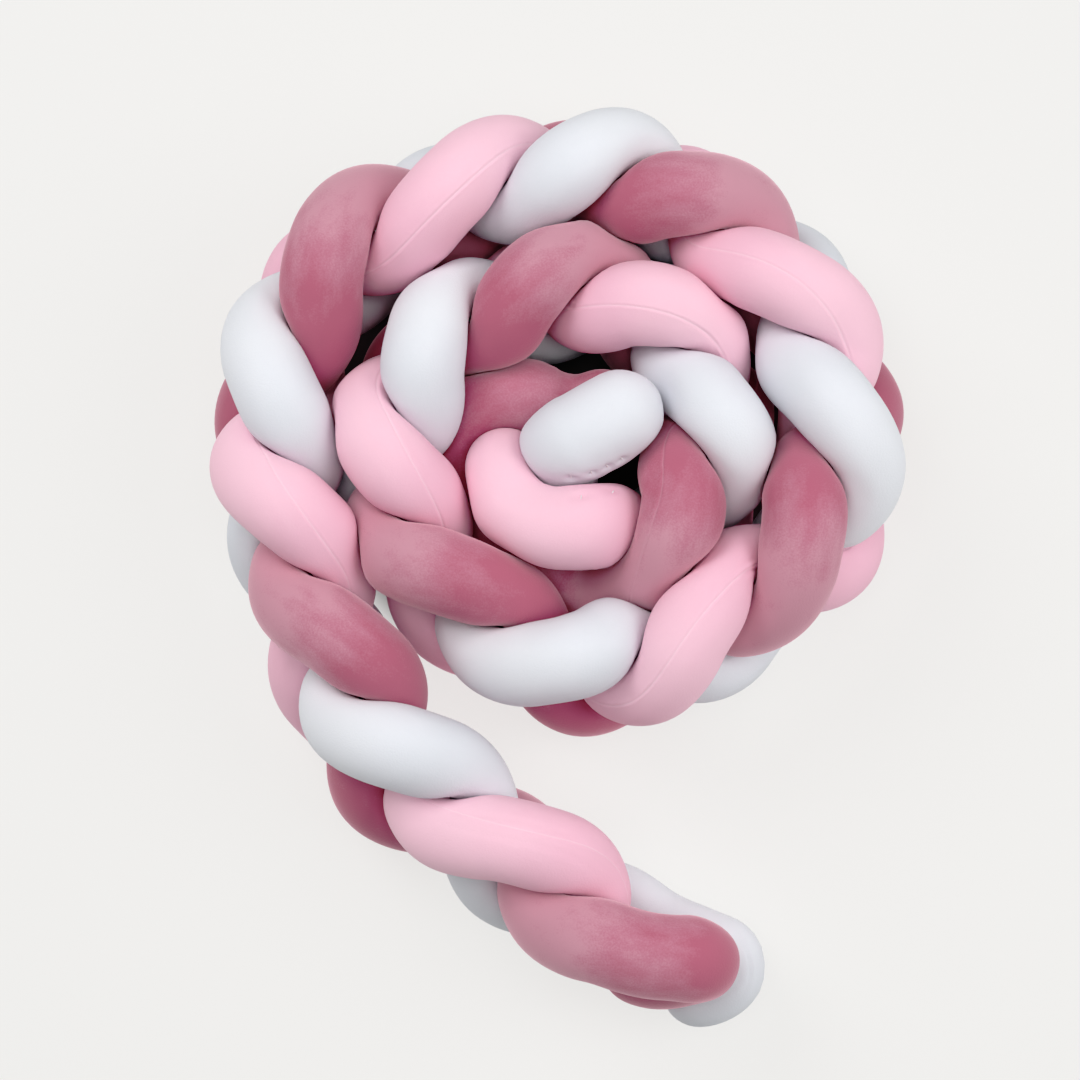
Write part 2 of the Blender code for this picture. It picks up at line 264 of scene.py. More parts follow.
def woven_line(axis, strand):
    """A tube's middle line where it is plaited, and the crown's number at each point."""
    first, last = WOVEN[strand]
    crown = np.linspace(first, last, round((last - first) * KEYS_PER_CROWN))
    phase = 2.0 * math.pi * (crown - 1 - STRANDS.index(strand)) / CROWNS_PER_REPEAT
    ahead = unit(axis(crown + 0.5) - axis(crown - 0.5))
    inward = np.column_stack([ahead[:, 1], -ahead[:, 0]])
    side = -(SIDE_SWING * np.sin(2.0 * phase) + SIDE_CROSSING * np.sin(4.0 * phase))
    lean = np.interp(crown, np.arange(len(CROWNS)) + 1.5, [row[3] for row in CROWNS])
    side = side + lean * (np.cos(phase) - LEAN_PIVOT)
    in_tail = 1.0 - np.interp(crown, TAIL_CROWNS, (0.0, 1.0))
    height = MID_HEIGHT + CROWN_RISE * np.cos(phase) + RISE_THIRD * np.cos(3.0 * phase)
    height = height - TAIL_SINK * in_tail * (height - LOWEST_CENTRE)
    return np.column_stack([axis(crown) + inward * side[:, None], height]), crown


def end_rows(strand, end):
    rows = np.array([row[2:] for row in ENDS if row[:2] == (strand, end)], float)
    rows[:, :2] -= PLAN_MIDDLE
    return rows


def middle_line(axis, strand):
    """A tube's middle line, with its free radius and its crown's number at each point."""
    woven, crown = woven_line(axis, strand)
    tail, middle = end_rows(strand, "tail")[::-1], end_rows(strand, "middle")
    keys = np.vstack([tail[:, :3], woven, middle[:, :3]])
    full = np.concatenate([tail[:, 3], np.ones(len(woven)), middle[:, 3]])
    run = run_of(keys)
    woven_run = run[len(tail) : len(tail) + len(woven)]
    beyond = np.minimum(run - woven_run[0], 0.0) + np.maximum(run - woven_run[-1], 0.0)
    number = np.interp(run, woven_run, crown) + beyond / TUBE_PER_CROWN
    place = np.linspace(0.0, run[-1], LINE_POINTS)
    return spline(run, keys)(place), TUBE_RADIUS * np.interp(place, run, full), np.interp(
        place, run, number)


axis = plait_axis()
lines, radii, crown_numbers = zip(*[middle_line(axis, strand) for strand in STRANDS])
print("tubes", [round(run_of(line)[-1]) for line in lines], "mm long")

# %% [markdown]
# ## Where the tubes push each other
# Cosines alone would let two tubes run through each other on the inside of a tight turn. In
# the real plait they push each other aside until they fit. A short relaxation does the same:
# points that are too close move apart, a little at each step, and the lines stay smooth.

# %% Push the middle lines apart
CLEARANCE = 42.0
OWN_REACH = 80.0
REACH = 150.0
SEWN_ENDS = (45.0, 135.0)
PUSH_STEPS = 60
PUSH_SHARE = 0.35
PUSH_FADE = 0.985
PUSH_EVERY = 4


def smooth_along(values):
    """Each row averaged with the rows before and after it."""
    padded = np.concatenate([values[:1], values, values[-1:]])
    return (padded[:-2] + 2.0 * padded[1:-1] + padded[2:]) / 4.0


def push_apart(lines):
    """Moves the middle lines apart where the tubes would be squeezed too much."""
    sparse = [line[::PUSH_EVERY] for line in lines]
    start = np.vstack(sparse)
    owner = np.concatenate([np.full(len(line), i) for i, line in enumerate(sparse)])
    run = np.concatenate([run_of(line) for line in sparse])
    own = owner[:, None] == owner[None, :]
    presses = ~(own & (np.abs(run[:, None] - run[None, :]) < OWN_REACH))
    to_tip = np.concatenate([run_of(line[::-1])[::-1] for line in sparse])
    loose = np.interp(np.minimum(run, to_tip), SEWN_ENDS, (0.0, 1.0))[:, None]
    shift = np.zeros_like(start)
    for _ in range(PUSH_STEPS):
        points = start + shift
        apart = points[:, None] - points[None, :]
        distance = np.linalg.norm(apart, axis=2) + 1e-9
        lack = np.where(presses, np.maximum(CLEARANCE - distance, 0.0), 0.0)
        push = (apart / distance[:, :, None] * lack[:, :, None]).sum(1)
        push /= np.maximum((lack > 0.0).sum(1), 1)[:, None]
        shift = PUSH_FADE * shift + PUSH_SHARE * push * loose
        for i in range(len(lines)):
            shift[owner == i] = smooth_along(smooth_along(shift[owner == i]))
        shift[:, 2] = np.maximum(shift[:, 2], LOWEST_CENTRE - start[:, 2])
    moved = []
    for i, line in enumerate(lines):
        run_here = run_of(line)
        moved.append(line + spline(run_here[::PUSH_EVERY], shift[owner == i])(run_here))
    return moved


lines = push_apart(lines)
print("pushed apart:", [round(run_of(line)[-1]) for line in lines], "mm long")

# %% [markdown]
# ## From a strip of velvet to a stuffed tube
# A maker cuts a strip as long as the tube and as wide as the way round it, and sews its long
# edges together. The same order works here. A grid is the strip, its rows are carried onto
# rings along the middle line, and its long edges are merged, which leaves the seam where the
# strip's edges met. The strip's flat place stays in the UV map, in metres, so that the pile
# and the seam can follow the cloth. The rings aren't round: each bulges out until it meets a
# neighbour half way, which gives the plait its tight S-shaped creases.

# %% Where the seams run
SEAMS = [
    # strand, crown number, degrees from the tube's top towards the middle of the coil
    ("pink", 1.70, 36),
    ("pink", 2.00, 18),
    ("pink", 2.40, 27),
    ("pink", 4.75, 0),
    ("pink", 5.00, 11),
    ("pink", 5.25, 43),
    ("pink", 7.55, 34),
    ("pink", 8.05, 27),
    ("pink", 10.65, 14),
    ("pink", 11.00, -2),
    ("pink", 11.40, 20),
    ("pink", 13.60, -15),
    ("pink", 14.05, 2),
    ("pink", 16.65, 5),
    ("pink", 17.10, 35),
    ("pink", 19.70, 6),
    ("pink", 20.00, 22),
    ("pink", 20.45, -3),
    ("mauve", 21.60, 25),
    ("mauve", 21.95, 36),
    ("mauve", 23.40, -140),
]
LOW_SEAM = -140.0   # degrees: where it is on the crowns that show none
SEAM_SMOOTHING = 4


def seam_rows(strand):
    """The strand's rows of the table, with a low seam on its crowns that have no row."""
    shown = [row[1:] for row in SEAMS if row[0] == strand]
    low = [(number, LOW_SEAM) for number, crown in enumerate(CROWNS, 1)
           if crown[0] == strand and all(abs(number - row[0]) > 1.0 for row in shown)]
    return np.array(sorted(shown + low), float)


def seam_line(strand, crown, top):
    """The seam's angle at each row of the strip, with no more twist than the table asks for."""
    rows = seam_rows(strand)
    order = np.arange(len(crown))
    at = np.interp(rows[:, 0], crown, order)
    wanted = np.unwrap(np.interp(at, order, top) + np.radians(rows[:, 1]))
    turn = np.interp(order, at, wanted)[:, None]
    for _ in range(SEAM_SMOOTHING):
        turn = smooth_along(turn)
    return turn


# %% Rings round the middle line
ROUND_COLUMNS = 38              # even steps round the tube
SEAM_COLUMNS = (0.9, 2.0, 3.6)  # mm from the seam, on each side, for its groove
ROW_STEP = 6.6
FINE_STEP = 2.6                 # where the closings are sewn
FINE_LENGTH = 90.0              # mm from the end that the plait's middle has
CAP_ROWS = 8
CONTACT_GAP = 0.8
BEND_SHARE = 0.85
SHARPNESS = 12.0
STUFFING = 0.97
LEAST_RADIUS = 0.90
MOST_RADIUS = 1.03
AREA_STEPS = 3
LEAST_REACH = 4.0
LEAST_CAP = 0.05                # share of its radius that a ring in a rounded end is measured at


def turned_frames(line):
    """At each point of a line: its tangent, and two ways across that don't twist."""
    tangent = unit(np.gradient(line, axis=0))
    first = np.zeros_like(line)
    way = np.array([0.0, 0.0, 1.0])
    for i, ahead in enumerate(tangent):
        way = way - ahead * (way @ ahead)
        way = way / np.linalg.norm(way)
        first[i] = way
    return tangent, first


def bend_limit(bend, ways):
    """How far a tube may reach each way before it folds over inside its own bend."""
    toward = ways @ bend
    return np.where(toward > 1e-6, BEND_SHARE / np.maximum(toward, 1e-6), REACH)


def contact_limit(centre, room, ways, neighbours, their_room):
    """How far a tube may reach each way before it meets a neighbour, the fuller one first."""
    apart = neighbours - centre
    distance = np.linalg.norm(apart, axis=1)
    near = distance < REACH
    toward = ways @ apart[near].T
    fuller = (room**2 - their_room[near] ** 2) / 2.0
    border = distance[near] ** 2 / 2.0 + fuller - CONTACT_GAP / 2.0 * distance[near]
    bound = np.where(toward > 1e-6, border / np.maximum(toward, 1e-6), REACH)
    return np.maximum(bound.min(1), LEAST_REACH)


def cap_share(run, length):
    """How much of its full radius a tube has, which falls to nothing in its rounded ends."""
    from_end = np.clip(np.minimum(run, length - run) / TUBE_RADIUS, 0.0, 1.0)
    return np.sqrt(1.0 - (1.0 - from_end) ** 2)


def room_of(index):
    """The radius that a tube wants at each point of its middle line."""
    run = run_of(lines[index])
    return radii[index] * cap_share(run, run[-1])


def row_places(length, radius):
    """How far along each row of the strip is: close together where it is closed."""
    slope = np.linspace(0.0, math.pi / 2.0, CAP_ROWS + 1)
    cap = radius * (1.0 - np.cos(slope))
    fine = np.arange(length - radius, length - FINE_LENGTH, -FINE_STEP)[::-1]
    rows = round((fine[0] - radius) / ROW_STEP)
    plain = np.linspace(radius, fine[0], rows + 1)
    return np.concatenate([cap[:-1], plain[:-1], fine, (length - cap[:-1])[::-1]])


def column_angles():
    """Angles from one edge of the strip to the other, with close columns along the seam."""
    close = np.array((0.0,) + SEAM_COLUMNS) / TUBE_RADIUS
    step = 2.0 * math.pi / ROUND_COLUMNS
    even = np.linspace(close[-1], 2.0 * math.pi - close[-1], ROUND_COLUMNS - 1)
    return np.concatenate([close[:-1], even, (2.0 * math.pi - close[:-1])[::-1]])


def section_sizes(limit, radius, angle):
    """The reach of every ring, each way: round where free, flat where pressed."""
    free = np.repeat(radius[:, None], limit.shape[1], 1)
    wanted = STUFFING * math.pi * radius**2
    wedge = 0.5 * np.sin(np.diff(angle))
    for _ in range(AREA_STEPS):
        size = (free**-SHARPNESS + limit**-SHARPNESS) ** (-1.0 / SHARPNESS)
        area = (size[:, 1:] * size[:, :-1] * wedge).sum(1)
        free *= np.sqrt(wanted / area)[:, None]
        free = np.clip(free, LEAST_RADIUS * radius[:, None], MOST_RADIUS * radius[:, None])
    return np.minimum(size, limit)


def tube_rings(index):
    """All that a strip needs for each of its rows: middle, ways out, reaches and limits."""
    line = lines[index]
    run = run_of(line)
    place = row_places(run[-1], TUBE_RADIUS)
    crown = np.interp(place, run, crown_numbers[index])
    tangent_line, first = turned_frames(line)
    centre = spline(run, line)(place)
    tangent = unit(spline(run, tangent_line)(place))
    first = spline(run, first)(place)
    first = unit(first - tangent * (first * tangent).sum(1)[:, None])
    second = np.cross(tangent, first)
    top = np.unwrap(np.arctan2(second[:, 2], first[:, 2]))
    seam = seam_line(STRANDS[index], crown, top)
    angle = column_angles()
    turned = (angle[None, :] + seam)[:, :, None]
    ways = np.cos(turned) * first[:, None] + np.sin(turned) * second[:, None]
    others = [i for i in range(len(lines)) if i != index]
    other_points = np.vstack([lines[i] for i in others])
    other_room = np.concatenate([room_of(i) for i in others])
    own_room = room_of(index)
    cap = cap_share(place, run[-1])
    room = np.interp(place, run, radii[index]) * cap
    bend = spline(run, np.gradient(tangent_line, run, axis=0))(place)
    limit = np.empty(ways.shape[:2])
    for i in range(len(place)):
        far = np.abs(run - place[i]) > OWN_REACH
        pressed = contact_limit(centre[i], room[i], ways[i], np.vstack([other_points, line[far]]),
                                np.concatenate([other_room, own_room[far]]))
        limit[i] = np.minimum(pressed, bend_limit(bend[i], ways[i]))
    limit = np.minimum(limit / np.maximum(cap, LEAST_CAP)[:, None], REACH)
    size = section_sizes(limit, np.interp(place, run, radii[index]), angle)
    return {"place": place, "crown": crown, "centre": centre, "tangent": tangent, "ways": ways,
            "size": size * cap[:, None], "limit": limit * cap[:, None], "angle": angle,
            "from_top": seam[:, 0] - top}

# %% The strip, rolled and sewn
START_SIZE = 0.98    # of the stuffed tube, as it is sewn and before it is stuffed


def select_only(obj):
    bpy.ops.object.select_all(action="DESELECT")
    obj.select_set(True)
    bpy.context.view_layer.objects.active = obj


def strip_of_velvet(name, rows, columns):
    """A flat grid with a face for each piece of cloth between two rows and two columns."""
    bpy.ops.object.select_all(action="DESELECT")
    bpy.ops.mesh.primitive_grid_add(x_subdivisions=columns, y_subdivisions=rows - 1, size=1.0)
    strip = bpy.context.object
    strip.name = strip.data.name = name
    return strip


def roll_and_sew(strip, points, flat):
    """Carries the strip's rows onto the rings, and merges its edges and its two ends."""
    mesh = strip.data
    columns = points.shape[1] - 1
    co = np.empty(len(mesh.vertices) * 3)
    mesh.vertices.foreach_get("co", co)
    grid = np.round((co.reshape(-1, 3)[:, :2] + 0.5) * (columns, points.shape[0] - 1))
    column, row = grid.astype(int).T
    mesh.vertices.foreach_set("co", (points[row, column] * MM).ravel())
    corner = np.empty(len(mesh.loops), int)
    mesh.loops.foreach_get("vertex_index", corner)
    mesh.uv_layers.active.data.foreach_set("uv", flat[row, column][corner].ravel())
    cell = mesh.attributes.new("cell", "INT", "POINT")
    cell.data.foreach_set("value", (row * columns + column % columns).astype(np.int32))
    select_only(strip)
    bpy.ops.object.mode_set(mode="EDIT")
    bpy.ops.mesh.select_all(action="SELECT")
    bpy.ops.mesh.remove_doubles(threshold=1e-7)
    bpy.ops.mesh.normals_make_consistent(inside=False)
    bpy.ops.object.mode_set(mode="OBJECT")


def sewn_tube(strand, rings):
    """The strand's tube as it is sewn, a little smaller than it will be when it is stuffed."""
    points = rings["centre"][:, None] + rings["ways"] * (START_SIZE * rings["size"])[:, :, None]
    points[:, :, 2] = np.maximum(points[:, :, 2], 0.0)
    around = np.broadcast_to(rings["angle"] * TUBE_RADIUS, points.shape[:2])
    along = np.broadcast_to(rings["place"][:, None], points.shape[:2])
    tube = strip_of_velvet(f"tube_{strand}", points.shape[0], points.shape[1] - 1)
    roll_and_sew(tube, points, np.stack([around, along], 2) * MM)
    return tube


rings = {strand: tube_rings(index) for index, strand in enumerate(STRANDS)}
tubes = {strand: sewn_tube(strand, rings[strand]) for strand in STRANDS}
print("sewn:", {strand: len(tube.data.polygons) for strand, tube in tubes.items()}, "faces")

# %% [markdown]
# ## Stuffing
# Stuffing presses the velvet out from inside, and the neighbours press it back. Blender's
# cloth with pressure does the first. Each sewn tube starts a little small and swells for
# twenty frames, with gravity off, because the tubes already lie where they rest. What the
# neighbours do is a cap: no point may pass the border half way to the next tube. Then one
# subdivision rounds the facets. The cloth takes a minute.

# %% Swell each tube with pressure
PRESSURE = 10.0          # above a cushion's 4, because a narrow tube's cloth is pulled less
SWELL_FRAMES = 20
CLOTH_STIFFNESS = 5.0    # soft jersey-backed velvet, which gives both ways
CLOTH_BENDING = 0.3
CLOTH_MASS = 0.3
CLOTH_GROWTH = 0.015     # how much wider and longer the strip was cut than its small start
MOST_SWELL = 3.0         # mm that a point may move
LEAST_SHARE = 0.97       # of a ring's own reach, that a swollen tube keeps
MOST_SHARE = 1.03        # of it, that it may have where no neighbour is in the way


def points_of(mesh):
    """The mesh's points in millimetres."""
    co = np.empty(len(mesh.vertices) * 3)
    mesh.vertices.foreach_get("co", co)
    return co.reshape(-1, 3) / MM


def set_points(mesh, points):
    mesh.vertices.foreach_set("co", (points * MM).ravel())
    mesh.update()


def stuff(tube):
    """Swells the closed tube with Blender's cloth, and keeps the result in its mesh."""
    select_only(tube)
    bpy.ops.object.modifier_add(type="CLOTH")
    cloth = tube.modifiers["Cloth"]
    settings = cloth.settings
    settings.mass = CLOTH_MASS
    settings.tension_stiffness = CLOTH_STIFFNESS
    settings.compression_stiffness = CLOTH_STIFFNESS
    settings.shear_stiffness = CLOTH_STIFFNESS
    settings.bending_stiffness = CLOTH_BENDING
    settings.shrink_min = -CLOTH_GROWTH
    settings.use_pressure = True
    settings.uniform_pressure_force = PRESSURE
    settings.effector_weights.gravity = 0.0
    cloth.point_cache.frame_end = SWELL_FRAMES
    for frame_number in range(1, SWELL_FRAMES + 1):
        bpy.context.scene.frame_set(frame_number)
    bpy.ops.object.modifier_apply(modifier="Cloth")
    bpy.context.scene.frame_set(1)


def cells_of(tube, rings):
    """The ring and the column that each point of the tube came from."""
    cell = np.empty(len(tube.data.vertices), np.int32)
    tube.data.attributes["cell"].data.foreach_get("value", cell)
    return np.divmod(cell, len(rings["angle"]) - 1)


def hold_back(tube, rings, start):
    """Caps what the swelling moved, and keeps it on its own side of every border."""
    row, column = cells_of(tube, rings)
    move = points_of(tube.data) - start
    length = np.linalg.norm(move, axis=1)[:, None]
    points = start + move * np.minimum(1.0, MOST_SWELL / np.maximum(length, 1e-9))
    centre, tangent = rings["centre"][row], rings["tangent"][row]
    across = points - centre
    along = (across * tangent).sum(1)[:, None] * tangent
    across -= along
    reach = np.linalg.norm(across, axis=1)
    size = rings["size"][row, column]
    most = np.minimum(MOST_SHARE * size, rings["limit"][row, column])
    held = np.clip(reach, LEAST_SHARE * size, np.maximum(most, LEAST_SHARE * size))
    points = centre + along + across * (held / np.maximum(reach, 1e-9))[:, None]
    points[:, 2] = np.maximum(points[:, 2], 0.0)
    set_points(tube.data, points)
    return held - START_SIZE * size


for strand, tube in tubes.items():
    sewn = points_of(tube.data)
    stuff(tube)
    swell = hold_back(tube, rings[strand], sewn)
    print(tube.name, "swelled by", round(float(swell.mean()), 2), "mm on average")

# %% One subdivision


def round_off(tube):
    """Halves the mesh's cells once, which rounds its facets."""
    tube.data.attributes.remove(tube.data.attributes["cell"])
    select_only(tube)
    bpy.ops.object.modifier_add(type="SUBSURF")
    finer = tube.modifiers["Subdivision"]
    finer.levels = finer.render_levels = 1
    bpy.ops.object.modifier_apply(modifier="Subdivision")
    bpy.ops.object.shade_smooth()


for tube in tubes.values():
    round_off(tube)
    print(tube.name, 2 * len(tube.data.polygons), "triangles")

# %% [markdown]
# ## Seams and creases
# The long seam draws the cloth in along one line, and short creases run along the tube where
# it is bent or held. They are finer than the cloth that was simulated, so they come after it,
# as grooves with a small lip on each side. The UV map still says where every point lies on
# the flat strip, so a groove is written as a run along the cloth and an angle round it.

# %% Grooves along the cloth
SEAM_DEPTH = 0.30        # mm
SEAM_WIDTH = 0.8
PUCKER_DEPTH = 0.12      # of the small waves that sewing leaves along the seam
PUCKER_STEP = 7.0
PUCKER_REACH = 4.0
LIP_SHARE = 0.35         # of a groove's depth, on each side of it
LIP_AWAY = 2.0           # of its widths from its middle
LUMP_HEIGHT = 0.35       # mm: loose fibre doesn't fill a tube quite evenly
LUMP_SIZE = 34.0
SECOND_WAVE = 3.7        # radians of a second wave in each PUCKER_STEP, so none repeats soon
END_SOFTNESS = 0.7       # how softly a crease ends: less is more sudden

CREASES = [
    # strand, from crown, to crown, from degrees, to degrees, depth, width
    ("pink", 1.60, 2.05, 12, 4, 0.35, 1.6),
    ("pink", 1.75, 2.30, 34, 30, 0.35, 1.6),
    ("pink", 1.95, 2.35, 2, 10, 0.30, 1.6),
    ("pink", 10.85, 11.15, -20, -8, 0.35, 1.6),
    ("pink", 10.80, 11.05, 8, 2, 0.35, 1.6),
    ("pink", 13.50, 13.75, -24, -20, 0.90, 1.4),
    ("pink", 13.55, 13.80, -6, -8, 0.60, 1.4),
    ("pink", 13.85, 14.10, -20, -14, 0.30, 1.6),
    ("pink", 16.60, 17.05, 18, 40, 0.40, 1.6),
    ("pink", 19.58, 19.70, 6, 8, 1.30, 1.2),
    ("pink", 20.15, 20.45, 26, 6, 0.45, 1.6),
    ("mauve", 21.70, 22.00, 44, 50, 0.35, 1.6),
    ("mauve", 24.46, 24.66, -40, -52, 1.30, 1.3),
    ("mauve", 24.50, 24.70, -54, -62, 0.90, 1.2),
    ("white", 0.52, 0.66, 30, 40, 1.40, 1.3),
    ("white", 0.46, 0.58, 6, 16, 0.90, 1.3),
]


def flat_places(mesh):
    """Where each point lies on the flat strip: round the tube and along it, in millimetres."""
    corner = np.empty(len(mesh.loops), int)
    mesh.loops.foreach_get("vertex_index", corner)
    flat = np.empty(len(mesh.loops) * 2)
    mesh.uv_layers.active.data.foreach_get("uv", flat)
    place = np.empty((len(mesh.vertices), 2))
    place[corner] = flat.reshape(-1, 2) / MM
    return place.T


def normals_of(mesh):
    normal = np.empty(len(mesh.vertices) * 3)
    mesh.vertices.foreach_get("normal", normal)
    return normal.reshape(-1, 3)


def groove(away, depth, width):
    """How far a groove goes in, at a distance from its middle: the trough less its lips."""
    lips = np.exp(-((np.abs(away) / width - LIP_AWAY) ** 2))
    return depth * (np.exp(-((away / width) ** 2)) - LIP_SHARE * lips)


def fade(value, start, end):
    """One between the two values, falling smoothly to nothing at both."""
    share = np.clip((value - start) / (end - start), 0.0, 1.0)
    return np.sin(math.pi * share) ** END_SOFTNESS


def seam_groove(around, along):
    """The long seam, with the small waves of its stitching."""
    half_strip = math.pi * TUBE_RADIUS
    away = (around + half_strip) % (2.0 * half_strip) - half_strip
    waves = np.sin(2.0 * math.pi * along / PUCKER_STEP)
    waves += np.sin(SECOND_WAVE * along / PUCKER_STEP)
    puckers = PUCKER_DEPTH * waves * np.exp(-((away / PUCKER_REACH) ** 2))
    return groove(away, SEAM_DEPTH, SEAM_WIDTH) + puckers


def crown_and_round(rings, around, along, degrees):
    """Each point's crown number, and how far round it is from an angle, in millimetres."""
    crown = np.interp(along, rings["place"], rings["crown"])
    from_top = around / TUBE_RADIUS + np.interp(along, rings["place"], rings["from_top"])
    turn = (from_top - np.radians(degrees(crown)) + math.pi) % (2.0 * math.pi) - math.pi
    return crown, TUBE_RADIUS * turn


def crease_depth(strand, rings, around, along):
    """All of the strand's creases from the table."""
    depth = np.zeros_like(around)
    for name, start, end, start_turn, end_turn, deep, wide in CREASES:
        if name != strand:
            continue
        crown, away = crown_and_round(rings, around, along, lambda crown: np.interp(
            crown, (start, end), (start_turn, end_turn)))
        depth += fade(crown, start, end) * groove(away, deep, wide)
    return depth


def lumps(points):
    """The filling's unevenness, from smooth noise at each point."""
    return np.array([noise.noise(Vector(point) / LUMP_SIZE) for point in points]) * LUMP_HEIGHT


for strand, tube in tubes.items():
    around, along = flat_places(tube.data)
    points, normal = points_of(tube.data), normals_of(tube.data)
    inward = seam_groove(around, along) + crease_depth(strand, rings[strand], around, along)
    points += normal * (lumps(points) - inward)[:, None]
    points[:, 2] = np.maximum(points[:, 2], 0.0)
    set_points(tube.data, points)
    print(tube.name, "deepest groove", round(float(inward.max()), 2), "mm")

# %% [markdown]
# ## Closing stitches
# The white tube's end is closed by hand, and the same thread sews it down to the pink tube
# under it. Each stitch draws the cloth in to a small pit, and a little of the thread shows in
# it. One thin ring of thread is modelled, and a copy goes in and out of the cloth at each.

# %% Draw the cloth in at each stitch
STITCHES = [
    # strand, crown number, degrees from its top
    ("white", 23.77, 52),
    ("white", 23.82, 67),
    ("white", 23.88, 72),
    ("white", 23.94, 73),
    ("pink", 22.69, 36),
    ("pink", 22.60, 44),
]
STITCH_REACH = 3.2        # mm of cloth round a stitch that it draws in
PIT_DEPTH = 2.8           # mm


def skin_point(strand, crown, degrees):
    """The place and the normal of the cloth at a crown's number and an angle from the top."""
    mesh = tubes[strand].data
    around, along = flat_places(mesh)
    number, away = crown_and_round(rings[strand], around, along, lambda _: degrees)
    nearest = np.argmin(np.hypot((number - crown) * TUBE_PER_CROWN, away))
    return points_of(mesh)[nearest], normals_of(mesh)[nearest]


def draw_in(strand, place, normal):
    """Draws the cloth round a place in, and gives the place where it was drawn to."""
    mesh = tubes[strand].data
    points = points_of(mesh)
    near = np.exp(-((np.linalg.norm(points - place, axis=1) / STITCH_REACH) ** 2))[:, None]
    set_points(mesh, points - near * PIT_DEPTH * normal)
    return place - PIT_DEPTH * normal


stitched = []
for strand, crown, degrees in STITCHES:
    place, normal = skin_point(strand, crown, degrees)
    stitched.append((draw_in(strand, place, normal), normal))
print("pits drawn in:", len(stitched))

# %% Copy a ring of thread to each
STITCH_RADIUS = 1.8       # mm
THREAD_RADIUS = 0.35      # mm, drawn about twice as thick as it is, so that it shows
RING_SEGMENTS = (20, 8)   # round the ring and round the thread


def thread_ring():
    """One stitch, modelled once: a thin ring of thread."""
    bpy.ops.object.select_all(action="DESELECT")
    bpy.ops.mesh.primitive_torus_add(
        major_segments=RING_SEGMENTS[0], minor_segments=RING_SEGMENTS[1],
        major_radius=STITCH_RADIUS * MM, minor_radius=THREAD_RADIUS * MM)
    bpy.ops.object.shade_smooth()
    return bpy.context.object


def ring_at(ring, place, out):
    """A copy of the ring, with its own mesh, that goes into the cloth and out of it."""
    along = unit(np.cross((0.0, 0.0, 1.0), out))
    matrix = Matrix(np.column_stack([np.cross(along, out), out, -along]).tolist()).to_4x4()
    matrix.translation = place * MM
    copy = ring.copy()
    copy.data = ring.data.copy()
    copy.data.transform(matrix)
    bpy.context.scene.collection.objects.link(copy)
    return copy


ring = thread_ring()
stitches = [ring_at(ring, place, out) for place, out in stitched]
bpy.data.objects.remove(ring)
select_only(stitches[0])
for piece in stitches:
    piece.select_set(True)
bpy.ops.object.join()
stitches = bpy.context.object
stitches.name = stitches.data.name = "closing_stitches"
print(stitches.name, len(STITCHES), "stitches,", 2 * len(stitches.data.polygons), "triangles")

# %% [markdown]
# ## Velvet
# The tubes are jersey-backed cotton velvet: a knitted ground with a short, soft pile that
# stands up and leans one way along the strip. The pile scatters light, so there is no
# highlight, only a faint sheen where it is seen edge on. The pile also looks deep where the
# tube climbs and one looks into it, and pale where it dives and one looks along it. That look
# is painted into the colour as painted sheen, as seen from above. It is strong in the mauve
# and hardly there in the pale tubes. The pile's own grain is about 0.3 mm, too fine for the
# picture, so it is drawn four times as coarse. How steeply a tube climbs is kept in the mesh
# as an attribute that steers the painted sheen, and the brushed patches follow the cloth
# through the UV map.

# %% How steeply the cloth climbs


# The climb steers the painted sheen of the velvet below.
def note_climb(tube, rings):
    """Keeps the height that the tube gains along each metre as the attribute "climb"."""
    along = flat_places(tube.data)[1]
    climb = np.interp(along, rings["place"], rings["tangent"][:, 2])
    tube.data.attributes.new("climb", "FLOAT", "POINT").data.foreach_set("value", climb)


for strand, tube in tubes.items():
    note_climb(tube, rings[strand])
    steepest = np.abs(rings[strand]["tangent"][:, 2]).max()
    print(tube.name, "climbs at most", round(float(steepest), 2))

# %% Helpers for materials


def linear(hex_colour):
    """An sRGB hex colour as the linear colour that a shader takes."""
    channels = [int(hex_colour[i : i + 2], 16) / 255.0 for i in (1, 3, 5)]
    return [c / 12.92 if c <= 0.04045 else ((c + 0.055) / 1.055) ** 2.4 for c in channels] + [1.0]


def add(tree, kind, settings, links):
    """Adds a node with its settings, by name or by number, and links its inputs to outputs."""
    node = tree.nodes.new(kind)
    for name, value in settings.items():
        if isinstance(name, int) or name in node.inputs:
            node.inputs[name].default_value = value
        else:
            setattr(node, name, value)
    for name, source in links.items():
        tree.links.new(source, node.inputs[name])
    return node.outputs


def new_material(name, settings):
    """A material whose Principled shader has these constant values, with its node tree."""
    material = bpy.data.materials.new(name)
    material.use_nodes = True
    shader = material.node_tree.nodes["Principled BSDF"]
    for socket, value in settings.items():
        shader.inputs[socket].default_value = value
    return material, material.node_tree, shader


# %% Velvet, with its pile's sheen painted into the colour
GRAIN_MM = 1.2            # the pile's grain, drawn four times as coarse as it is
GRAIN_HEIGHT = 0.00035    # metres
GRAIN_SHARE = 0.5         # of the patches' unevenness, that the grain adds
MOTTLE_MM = 22.0          # patches where the pile was brushed another way
STREAK = 0.70             # their width round the tube, of their length along it
CLIMB_RANGE = 0.5         # the climb, up or down, at which the painted sheen stops changing
SEAM_SHOWS = 0.8          # mm on each side of the seam, where it is drawn paler
SEAM_STRENGTH = 0.35

VELVETS = {
    # strand: colours, with painted sheen, where it dives, runs level and climbs, colour of the
    # seam's hairline, unevenness, sheen, colour of the sheen
    "mauve": (("#cc93a3", "#c07b8f", "#b7647b"), "#d3a0ae", 1.50, 0.80, "#e8c3cd"),
    "pink": (("#fbcddd", "#f9c8d9", "#f6c1d4"), "#fde0e9", 0.60, 0.15, "#fdeaf1"),
    "white": (("#e9ebf0", "#e6e8ee", "#e2e5eb"), "#f2f3f6", 0.60, 0.10, "#f4f6fa"),
}


